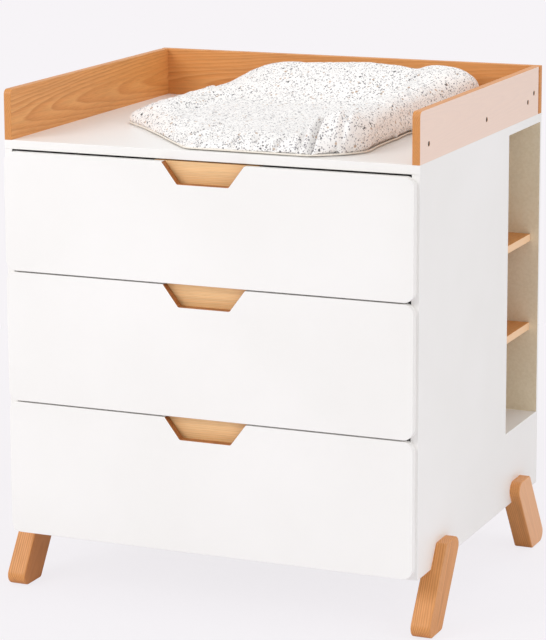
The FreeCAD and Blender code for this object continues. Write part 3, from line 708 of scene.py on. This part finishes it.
@dataclass
class Case:
    """The lacquered boards of the case and the dowels that hold them."""

    boards: Tuple[str, ...] = ("top_panel", "left_side_panel", "right_side_panel", "base_panel",
                               "left_niche_floor", "right_niche_floor")
    # Boards with a face inside a niche, and which way that face looks; that face gets a warm painted shade.
    warm_painted: Tuple[Tuple[str, Triple], ...] = (
        ("back_panel", (0.0, -1.0, 0.0)),
        ("drawer_partition", (0.0, 1.0, 0.0)),
        ("niche_divider", (0.0, 0.0, 0.0)),
    )
    lacquer: SatinLacquer = field(default_factory=SatinLacquer)
    beech: PlainBeech = field(default_factory=PlainBeech)

    def build(self) -> None:
        """Dress the boards."""
        lacquer = self.lacquer.material()
        for board in self.boards:
            dress(board, lacquer)
        for board, facing in self.warm_painted:
            name = "white satin lacquer and warm melamine of the %s" % board.replace("_", " ")
            dress(board, NicheLacquer(name=name, facing=facing).material())
        dress("case_dowels", self.beech.material())


@dataclass
class Guard:
    """The three boards round the changing surface and their cam fixings."""

    woods: Tuple[OiledOak, ...] = (
        # The side guards' outer faces get a pale pink painted highlight; the back guard has none.
        OiledOak("left", Grain.ALONG_Y.value, (-0.480, 0.20, 0.962), outer="#f6e1d5", highlight_share=0.86),
        OiledOak("right", Grain.ALONG_Y.value, (0.482, -0.05, 0.985), outer="#f6e1d5", highlight_share=0.86),
        OiledOak("back", Grain.ALONG_X.value, (0.10, 0.440, 0.955)),
    )
    # The cams' dark brown-grey is painted shade for their recessed holes, darker than zinc's own grey.
    zinc: Metal = Metal("die-cast zinc cams", "#6b645e", "#3a3633", (2.0, 2.0, 2.0), 0.45)

    def build(self) -> None:
        """Dress the boards, with the grain along each."""
        for wood in self.woods:
            finish = replace(wood, name="oiled oak of the %s guard" % wood.name)
            dress(wood.name + "_guard", finish.material())
        zinc = self.zinc.material()
        dress("guard_cams", zinc)
        dress("guard_cam_bolts", zinc)


@dataclass
class Legs:
    """The four splayed legs, their bolts and their glides.

    Attributes:
        run: How far a leg slants over its rise.
        rise: Height of that slant.
        wood: The front right leg's wood; the other logs mirror its own.
        painted_highlight: How far the outer faces of the front and the rear legs are painted paler, as a
            painted highlight.
        zinc: The bolts' finish.
        felt: The glides' finish.
    """

    run: float = 0.111
    rise: float = 0.166
    # The legs' inward faces get painted shade from the case above them, and their outward faces a painted
    # highlight.
    wood: OiledOak = OiledOak("oiled oak leg", heart=(0.495, -0.27, 0.08), pale="#ecac6e", middle="#dd9654",
                              deep="#b9733a", outer="#efb98e", inner="#d0844a", shade_share=0.7)
    painted_highlight: Tuple[float, float] = (0.1, 0.75)
    zinc: Metal = Metal("zinc plated bolts", "#b9bcc0", "#8f9296", (2.5, 2.5, 1.111), 0.35)
    felt: PressedFelt = field(default_factory=PressedFelt)

    def build(self) -> None:
        """Dress the legs, with the grain along each leg's slant."""
        onto_x = Euler(Grain.ALONG_Z.value).to_matrix()
        lean = math.atan2(self.run, self.rise)
        across, back, up = self.wood.heart
        for end, sign, painted_highlight in (("front", 1.0, self.painted_highlight[0]), ("rear", -1.0, self.painted_highlight[1])):
            turn = (onto_x @ Euler((sign * lean, 0.0, 0.0)).to_matrix()).to_euler("XYZ")
            for side, hand in (("left", -1.0), ("right", 1.0)):
                wood = replace(self.wood, name="oiled oak of the %s %s leg" % (end, side), turn=tuple(turn),
                               heart=(hand * across, sign * back, up), highlight_share=painted_highlight)
                dress("%s_%s_leg" % (end, side), wood.material())
        dress("leg_bolts", self.zinc.material())
        dress("felt_glides", self.felt.material())


@dataclass
class Niches:
    """The wooden shelves in the side niches; the left shelves' log mirrors the right one's."""

    # The shelves' outward faces get a paler painted highlight.
    wood: OiledOak = OiledOak("oiled oak shelves", Grain.ALONG_Y.value, (0.2, 0.1, 0.56),
                              outer="#fbd5ac", highlight_share=0.85)
    pins: Metal = Metal("nickel plated shelf pins", "#c9c8c5", "#a3a29f", (1.667, 1.667, 1.667), 0.3)

    def build(self) -> None:
        """Dress the shelves, with the grain along their depth."""
        across, back, up = self.wood.heart
        for side, hand in (("left", -1.0), ("right", 1.0)):
            finish = replace(self.wood, name="oiled oak of the %s shelves" % side,
                             heart=(hand * across, back, up)).material()
            dress(side + "_lower_shelf", finish)
            dress(side + "_upper_shelf", finish)
        dress("shelf_pins", self.pins.material())


@dataclass
class Drawers:
    """The three drawers: lacquered fronts, oak pulls, foil boxes and steel runners."""

    levels: Tuple[str, ...] = ("top", "middle", "bottom")
    wood: OiledOak = OiledOak("oiled oak pull", heart=(0.0, -0.29, 0.80), pale="#ffe0b0", middle="#ffd096",
                              deep="#f8bd7c", ring_mm=3.0, slant=0.01)
    # How far the log of the next pull down lies from that of the one above.
    heart_step: Triple = (0.3, 0.0, -0.24)
    front: NotchedLacquer = field(default_factory=NotchedLacquer)
    board: FoilBoard = field(default_factory=FoilBoard)
    hardboard: FoilBoard = FoilBoard("faced hardboard", "#e9e5dd", "#dcd6cb", roughness=0.6)
    steel: Metal = Metal("zinc plated rolled steel", "#c3c5c8", "#9b9ea2", (3.333, 166.7, 3.333), 0.32)

    def build(self) -> None:
        """Dress every drawer."""
        lacquer = self.front.material()
        board = self.board.material()
        steel = self.steel.material()
        hardboard = self.hardboard.material()
        for step, level in enumerate(self.levels):
            heart = tuple(first + step * more for first, more in zip(self.wood.heart, self.heart_step))
            pull = replace(self.wood, name="oiled oak of the %s pull" % level, heart=heart)
            dress(level + "_drawer_front", lacquer)
            dress(level + "_drawer_pull", pull.material())
            for piece in ("left_side", "right_side", "back"):
                dress("%s_drawer_%s" % (level, piece), board)
            dress(level + "_drawer_bottom", hardboard)
            for member in ("case_runners", "middle_runners", "drawer_runners"):
                dress("%s_%s" % (level, member), steel)


# ---------------------------------------------------------------- the changing mat


def smooth(share: float) -> float:
    """A smooth climb from 0 to 1."""
    share = min(max(share, 0.0), 1.0)
    return share * share * (3.0 - 2.0 * share)


def nearest_on(path: Sequence[Vector], point: Vector) -> Tuple[float, float]:
    """How far a point is from a path of straight runs, seen from above.

    Args:
        path: The path's points.
        point: The point.

    Returns:
        The distance, and the place along the path from 0 to 1.
    """
    best = (math.inf, 0.0)
    runs = len(path) - 1
    for spot in range(runs):
        start, end = path[spot], path[spot + 1]
        run = (end - start).xy
        share = min(max((point - start).xy.dot(run) / run.length_squared, 0.0), 1.0)
        gap = ((point - start).xy - run * share).length
        if gap < best[0]:
            best = (gap, (spot + share) / runs)
    return best


@dataclass(frozen=True)
class Crease:
    """A line along which the mat's cover is drawn in.

    Attributes:
        path: Points along it, seen from above.
        depth: How far the cover sinks.
        width: Half the width over which it does.
        reach: How many widths away it still has an effect.
        ends: Share of the path over which it fades out at each end.
        proud: Height of the lip beside it, as a share of its depth.
        proud_at: How many widths away the lip is.
    """

    path: Tuple[Tuple[float, float], ...]
    depth: float
    width: float
    reach: float = 4.0
    ends: float = 0.25
    proud: float = 0.2
    proud_at: float = 2.1

    def near(self, point: Vector) -> bool:
        """Whether the crease has an effect at a point.

        Args:
            point: The point.

        Returns:
            True where it has.
        """
        across, back = zip(*self.path)
        margin = self.reach * self.width
        return (min(across) - margin < point.x < max(across) + margin
                and min(back) - margin < point.y < max(back) + margin)

    def at(self, point: Vector) -> float:
        """How far the cover sinks at a point. It stands a little proud beside the crease.

        Args:
            point: The point.

        Returns:
            The depth there, negative where the cover stands proud.
        """
        if not self.near(point):
            return 0.0
        line = [Vector((x, y, 0.0)) for x, y in self.path]
        gap, along = nearest_on(line, point)
        fade = smooth(along / self.ends) * smooth((1.0 - along) / self.ends)
        share = gap / self.width
        lip = self.proud * math.exp(-(share - self.proud_at) ** 2)
        return self.depth * fade * (math.exp(-share * share) - lip)


@dataclass(frozen=True)
class Swell:
    """A place where the mat's filling pushes its cover out.

    Attributes:
        place: Its middle, seen from above.
        reach: How far it spreads.
        push: How far the cover moves there.
        floor: Height below which it fades out, so that the mat still lies flat.
    """

    place: Tuple[float, float]
    reach: float
    push: Triple
    floor: float = 0.02

    def at(self, point: Vector, height: float) -> Vector:
        """How far the cover moves at a point.

        Args:
            point: The point.
            height: Its height over the surface that the mat lies on.

        Returns:
            The way the cover moves.
        """
        gap = math.hypot(point.x - self.place[0], point.y - self.place[1]) / self.reach
        lift = smooth(height / self.floor) if self.floor else 1.0
        return Vector(self.push) * (lift * math.exp(-gap * gap))


@dataclass
class ChangingMat:
    """The loose mat: foam in a cotton cover, blown up a little by cloth simulation.

    Attributes:
        weld: Distance within which the solid's corners are one.
        voxel: Size of a cell of the even mesh.
        shrink: How far the solid is drawn in before it is blown up.
        pressure, mass, tension, bending, quality: Settings of the cloth.
        frames: Frames that the simulation runs.
        cap: How far it may move a point.
        rest: Height of the surface that the mat lies on.
        creased_from: Height over that surface from which creases and ripples show.
        creased_over: Further height over which they grow to their full depth.
        deepest: Deepest crease, as a share of the cover's height there.
        ripples: Height of the small ripples, and how many there are in a metre.
        piping: Radius of the piping.
        piping_rise: Height of its centre line over the surface.
        piping_points: Points once round.
        skirt: Height up to which the mat's outline is measured for it.
        middle: Middle of the mat, seen from above.
        swells: Where the filling pushes the cover out.
        creases: Where the cover is drawn in.
        cotton: The cover's finish.
        tape: The piping's finish.
    """

    weld: float = 1e-5
    voxel: float = 0.005
    shrink: float = 0.004
    pressure: float = 3.5
    mass: float = 0.3
    tension: float = 12.0
    bending: float = 0.6
    quality: int = 6
    frames: int = 20
    cap: float = 0.007
    rest: float = 0.9222
    creased_from: float = 0.004
    creased_over: float = 0.008
    deepest: float = 0.8
    ripples: Tuple[Tuple[float, float], ...] = ((0.0016, 24.0), (0.0008, 70.0))
    piping: float = 0.0017
    piping_rise: float = 0.0035
    piping_points: int = 220
    skirt: float = 0.010
    middle: Tuple[float, float] = (0.0, -0.02)
    swells: Tuple[Swell, ...] = (
        Swell((-0.125, 0.285), 0.055, (0.0, 0.0, 0.009)),
        Swell((0.315, 0.270), 0.075, (0.013, 0.0, 0.010), 0.05),
        Swell((-0.300, -0.075), 0.040, (-0.014, 0.002, 0.0), 0.0),
        Swell((0.262, -0.300), 0.045, (0.0, -0.004, 0.014), 0.03),
        Swell((-0.150, -0.230), 0.050, (0.0, 0.0, 0.006)),
        Swell((0.080, -0.300), 0.060, (0.0, 0.0, 0.005)),
    )
    creases: Tuple[Crease, ...] = (
        Crease(((-0.114, -0.37), (-0.082, -0.303), (-0.056, -0.263), (-0.036, -0.225), (-0.02, -0.17)),
               0.024, 0.006),
        Crease(((-0.030, -0.40), (-0.024, -0.33), (-0.010, -0.26)), 0.010, 0.005),
        Crease(((0.216, -0.47), (0.206, -0.35), (0.210, -0.315), (0.218, -0.25)), 0.036, 0.0055),
        Crease(((0.254, -0.40), (0.262, -0.32), (0.250, -0.24)), 0.012, 0.006),
        Crease(((0.190, -0.40), (0.186, -0.33), (0.166, -0.25)), 0.014, 0.006),
        Crease(((0.040, -0.39), (0.044, -0.345), (0.050, -0.29)), 0.009, 0.005),
        Crease(((0.090, -0.39), (0.092, -0.345), (0.086, -0.28)), 0.009, 0.005),
        Crease(((0.140, -0.39), (0.136, -0.345), (0.142, -0.29)), 0.009, 0.005),
        Crease(((0.175, 0.02), (0.24, 0.00), (0.32, 0.01)), 0.008, 0.006),
        Crease(((0.18, 0.115), (0.24, 0.095), (0.32, 0.105)), 0.008, 0.005),
        Crease(((0.17, -0.07), (0.23, -0.095), (0.32, -0.085)), 0.007, 0.006),
        Crease(((0.19, 0.22), (0.25, 0.200), (0.33, 0.215)), 0.008, 0.006),
        Crease(((-0.32, 0.02), (-0.23, 0.00), (-0.17, 0.03)), 0.008, 0.007),
        Crease(((-0.32, 0.14), (-0.23, 0.125), (-0.16, 0.15)), 0.008, 0.006),
        Crease(((-0.29, -0.10), (-0.20, -0.11), (-0.15, -0.08)), 0.007, 0.007),
    )
    cotton: SpeckledCotton = field(default_factory=SpeckledCotton)
    tape: CottonTape = field(default_factory=CottonTape)

    def build(self) -> None:
        """Make the cushion and its piping."""
        cushion = self.blank()
        self.blow_up(cushion)
        self.soften(cushion)
        self.settle(cushion)
        cushion.data.materials.clear()
        cushion.data.materials.append(self.cotton.material())
        tape = tube("mat_piping", self.edge_line(cushion), self.piping, self.tape.material())
        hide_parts("changing_mat")
        for piece in (cushion, tape):
            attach(piece, "mat")
            LOG.info("%s: %d faces", piece.name, len(piece.data.polygons))

    def blank(self) -> bpy.types.Object:
        """The mat's solid, drawn in a little and meshed evenly.

        Returns:
            The new object.
        """
        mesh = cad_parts["changing_mat"].data.copy()
        cushion = bpy.data.objects.new("mat_cushion", mesh)
        bpy.context.scene.collection.objects.link(cushion)
        work = bmesh.new()
        work.from_mesh(mesh)
        bmesh.ops.remove_doubles(work, verts=work.verts, dist=self.weld)
        work.to_mesh(mesh)
        work.free()
        apply_modifier(cushion, "REMESH", mode="VOXEL", voxel_size=self.voxel)
        inward = [vertex.normal.copy() for vertex in cushion.data.vertices]
        for vertex, normal in zip(cushion.data.vertices, inward):
            vertex.co -= normal * self.shrink
        return cushion

    def blow_up(self, cushion: bpy.types.Object) -> None:
        """Swell the cover by pressure, with each point's travel capped.

        Args:
            cushion: The mat's cover.
        """
        before = [vertex.co.copy() for vertex in cushion.data.vertices]
        cloth = cushion.modifiers.new("cover", "CLOTH")
        cloth.settings.use_pressure = True
        cloth.settings.uniform_pressure_force = self.pressure
        cloth.settings.effector_weights.gravity = 0.0
        cloth.settings.quality = self.quality
        cloth.settings.mass = self.mass
        cloth.settings.tension_stiffness = self.tension
        cloth.settings.bending_stiffness = self.bending
        scene = bpy.context.scene
        for step in range(1, self.frames + 1):
            scene.frame_set(step)
        settled = cushion.evaluated_get(bpy.context.evaluated_depsgraph_get())
        after = [vertex.co.copy() for vertex in settled.data.vertices]
        cushion.modifiers.remove(cloth)
        scene.frame_set(1)
        for vertex, start, end in zip(cushion.data.vertices, before, after):
            travel = end - start
            if travel.length > self.cap:
                travel = travel.normalized() * self.cap
            vertex.co = start + travel

    def soften(self, cushion: bpy.types.Object) -> None:
        """Subdivide the cover once and shade it smooth.

        Args:
            cushion: The mat's cover.
        """
        apply_modifier(cushion, "SUBSURF", levels=1, render_levels=1)
        for polygon in cushion.data.polygons:
            polygon.use_smooth = True

    def settle(self, cushion: bpy.types.Object) -> None:
        """Push the swells out and the creases in, and keep the mat on the surface under it.

        Args:
            cushion: The mat's cover.
        """
        for vertex in cushion.data.vertices:
            place = vertex.co
            height = place.z - self.rest
            for swell in self.swells:
                place += swell.at(place, height)
            height = place.z - self.rest
            upper = smooth((height - self.creased_from) / self.creased_over)
            sink = sum(crease.at(place) for crease in self.creases)
            ripple = sum(tall * noise(place * many) for tall, many in self.ripples)
            place.z += upper * (ripple - min(sink, self.deepest * max(height, 0.0)))
            place.z = max(place.z, self.rest)

    def edge_line(self, cushion: bpy.types.Object) -> List[Vector]:
        """The mat's outline where the piping runs, just above the surface.

        Args:
            cushion: The finished cushion.

        Returns:
            Points once round, evenly spread by angle and smoothed.
        """
        count = self.piping_points
        centre = Vector(self.middle)
        reach = [0.0] * count
        for vertex in cushion.data.vertices:
            if vertex.co.z > self.rest + self.skirt:
                continue
            arm = vertex.co.xy - centre
            spot = int((math.atan2(arm.y, arm.x) / (2 * math.pi) % 1.0) * count) % count
            reach[spot] = max(reach[spot], arm.length)
        for spot in range(count):
            if reach[spot] == 0.0:
                reach[spot] = reach[spot - 1]
        for _ in range(2):
            reach = [(reach[spot - 1] + 2 * reach[spot] + reach[(spot + 1) % count]) / 4
                     for spot in range(count)]
        line = []
        for spot, far in enumerate(reach):
            turn = 2 * math.pi * (spot + 0.5) / count
            line.append(Vector((centre.x + far * math.cos(turn), centre.y + far * math.sin(turn),
                                self.rest + self.piping_rise)))
        return line


def apply_modifier(thing: bpy.types.Object, kind: str, **settings: object) -> None:
    """Add a modifier, set it and make its result the mesh.

    Args:
        thing: The object.
        kind: The modifier's Blender type.
        **settings: Its properties.
    """
    modifier = thing.modifiers.new(kind.lower(), kind)
    for name, value in settings.items():
        setattr(modifier, name, value)
    result = bpy.data.meshes.new_from_object(thing.evaluated_get(bpy.context.evaluated_depsgraph_get()))
    thing.modifiers.remove(modifier)
    old = thing.data
    thing.data = result
    bpy.data.meshes.remove(old)


def tube(name: str, line: Sequence[Vector], radius: float, finish: bpy.types.Material,
         sides: int = 10) -> bpy.types.Object:
    """A closed round tube along a closed line.

    Args:
        name: The new object's name.
        line: Points once round.
        radius: The tube's radius.
        finish: Its material.
        sides: Sides of its section.

    Returns:
        The new object.
    """
    mesh = bpy.data.meshes.new(name)
    work = bmesh.new()
    count = len(line)
    upward = Vector((0.0, 0.0, 1.0))
    rings = []
    for spot in range(count):
        ahead = (line[(spot + 1) % count] - line[spot - 1]).normalized()
        across = ahead.cross(upward).normalized()
        ring = []
        for side in range(sides):
            turn = 2 * math.pi * side / sides
            offset = across * math.cos(turn) + upward * math.sin(turn)
            ring.append(work.verts.new(line[spot] + offset * radius))
        rings.append(ring)
    for spot in range(count):
        ring, following = rings[spot], rings[(spot + 1) % count]
        for side in range(sides):
            beside = (side + 1) % sides
            face = work.faces.new((ring[side], following[side], following[beside], ring[beside]))
            face.smooth = True
    bmesh.ops.recalc_face_normals(work, faces=work.faces)
    work.to_mesh(mesh)
    work.free()
    mesh.materials.append(finish)
    made = bpy.data.objects.new(name, mesh)
    bpy.context.scene.collection.objects.link(made)
    return made


# ---------------------------------------------------------------- the studio


@dataclass(frozen=True)
class Lamp:
    """A soft square lamp."""

    name: str
    place: Triple
    size: float
    power: float
    colour: str = "#ffffff"


@dataclass
class Studio:
    """Pale floor, soft light and the photograph's camera.

    The camera's angles are in degrees, and names in _px are in the photograph's pixels. The floor glows by
    the first number of floor_glow near the object and by the second far from it, and floor_reach holds the
    distances between which that changes. The lamps look at the point called aim.
    """

    background: str = "#f7f4f7"
    world_colour: str = "#ffffff"
    world_level: float = 0.62
    floor_colour: str = "#f0eef2"
    floor_half: float = 30.0
    floor_glow: Tuple[float, float] = (0.87, 1.0)
    floor_reach: Tuple[float, float] = (0.9, 2.4)
    lamps: Tuple[Lamp, ...] = (
        Lamp("key", (-2.6, -4.2, 3.4), 2.6, 118.0),
        Lamp("fill", (4.6, -1.0, 2.8), 2.6, 52.0),
        Lamp("top", (0.5, 1.4, 4.0), 2.4, 22.0),
    )
    aim: Triple = (0.0, 0.0, 0.5)
    position: Triple = (2.1363, -5.0279, 1.7326)
    yaw: float = 23.171
    pitch: float = -11.169
    roll: float = 0.265
    focal_px: float = 2722.0
    frame_px: float = 640.0
    centre_px: float = 256.0
    sensor_mm: float = 36.0
    far: float = 60.0

    def build(self) -> None:
        """Make everything round the object."""
        bpy.context.scene.view_settings.view_transform = "Standard"
        self.camera()
        self.world()
        for lamp in self.lamps:
            self.lamp(lamp)
        self.floor()

    def camera(self) -> None:
        """The camera that was fitted to the photograph."""
        turn = Matrix.Identity(3)
        for angle, axis in ((self.yaw, "Z"), (self.pitch, "X"), (self.roll, "Y"), (90.0, "X")):
            turn = turn @ Matrix.Rotation(math.radians(angle), 3, axis)
        data = bpy.data.cameras.new("camera")
        data.sensor_fit = "VERTICAL"
        data.sensor_height = self.sensor_mm
        data.lens = self.focal_px / self.frame_px * self.sensor_mm
        data.shift_y = (self.centre_px - self.frame_px / 2) / self.frame_px
        data.clip_end = self.far
        camera = bpy.data.objects.new("camera", data)
        camera.matrix_world = Matrix.Translation(self.position) @ turn.to_4x4()
        bpy.context.scene.collection.objects.link(camera)
        bpy.context.scene.camera = camera

    def world(self) -> None:
        """Even white light; the camera and reflections see the background colour."""
        graph = Graph(bpy.data.worlds.new("studio"))
        path = graph.node("LightPath")
        seen = graph.node("Background", {"Color": self.background})
        light = graph.node("Background", {"Color": self.world_colour, "Strength": self.world_level})
        glossy = graph.node("Math", {0: (path, "Is Camera Ray"), 1: (path, "Is Glossy Ray")},
                            operation="MAXIMUM")
        clear = graph.node("Math", {0: glossy, 1: (path, "Is Transmission Ray")}, operation="MAXIMUM")
        mixed = graph.node("MixShader", {"Fac": clear, 1: light, 2: seen})
        graph.node("OutputWorld", {"Surface": mixed})
        bpy.context.scene.world = graph.owner

    def lamp(self, lamp: Lamp) -> None:
        """One soft square lamp that looks at the middle of the object.

        Args:
            lamp: Its name, place, size, power and colour.
        """
        data = bpy.data.lights.new(lamp.name, "AREA")
        data.shape = "SQUARE"
        data.size = lamp.size
        data.energy = lamp.power
        data.color = hex_colour(lamp.colour)[:3]
        made = bpy.data.objects.new(lamp.name, data)
        place = Vector(lamp.place)
        turn = (Vector(self.aim) - place).to_track_quat("-Z", "Y").to_matrix()
        made.matrix_world = Matrix.Translation(place) @ turn.to_4x4()
        bpy.context.scene.collection.objects.link(made)

    def floor(self) -> None:
        """A wide pale floor that keeps the object's shadow and meets the background."""
        work = bmesh.new()
        bmesh.ops.create_grid(work, x_segments=1, y_segments=1, size=self.floor_half)
        mesh = bpy.data.meshes.new("studio_floor")
        work.to_mesh(mesh)
        work.free()
        floor = bpy.data.objects.new("studio_floor", mesh)
        bpy.context.scene.collection.objects.link(floor)
        surface = Surface("pale studio floor")
        path = surface.node("LightPath")
        away = surface.node("VectorMath", {0: (surface.place, "Object")}, operation="LENGTH")
        level = surface.node("MapRange", {"Value": (away, "Value"), "From Min": self.floor_reach[0],
                                          "From Max": self.floor_reach[1], "To Min": self.floor_glow[0],
                                          "To Max": self.floor_glow[1]})
        share = surface.node("Math", {0: (path, "Is Camera Ray"), 1: level}, operation="MULTIPLY")
        glow = surface.node("Emission", {"Color": self.background, "Strength": 1.0})
        mixed = surface.node("MixShader", {"Fac": share, 1: surface.shader, 2: glow})
        surface.fill(surface.output, {"Surface": mixed})
        mesh.materials.append(surface.finish({"Base Color": self.floor_colour, "Roughness": 0.9,
                                              "Specular IOR Level": 0.1}))


# ---------------------------------------------------------------- the whole scene


def main() -> None:
    """Build the sub-assemblies in order."""
    Studio().build()
    Case().build()
    Guard().build()
    Niches().build()
    Legs().build()
    Drawers().build()
    ChangingMat().build()


if __name__ == "__main__":
    main()
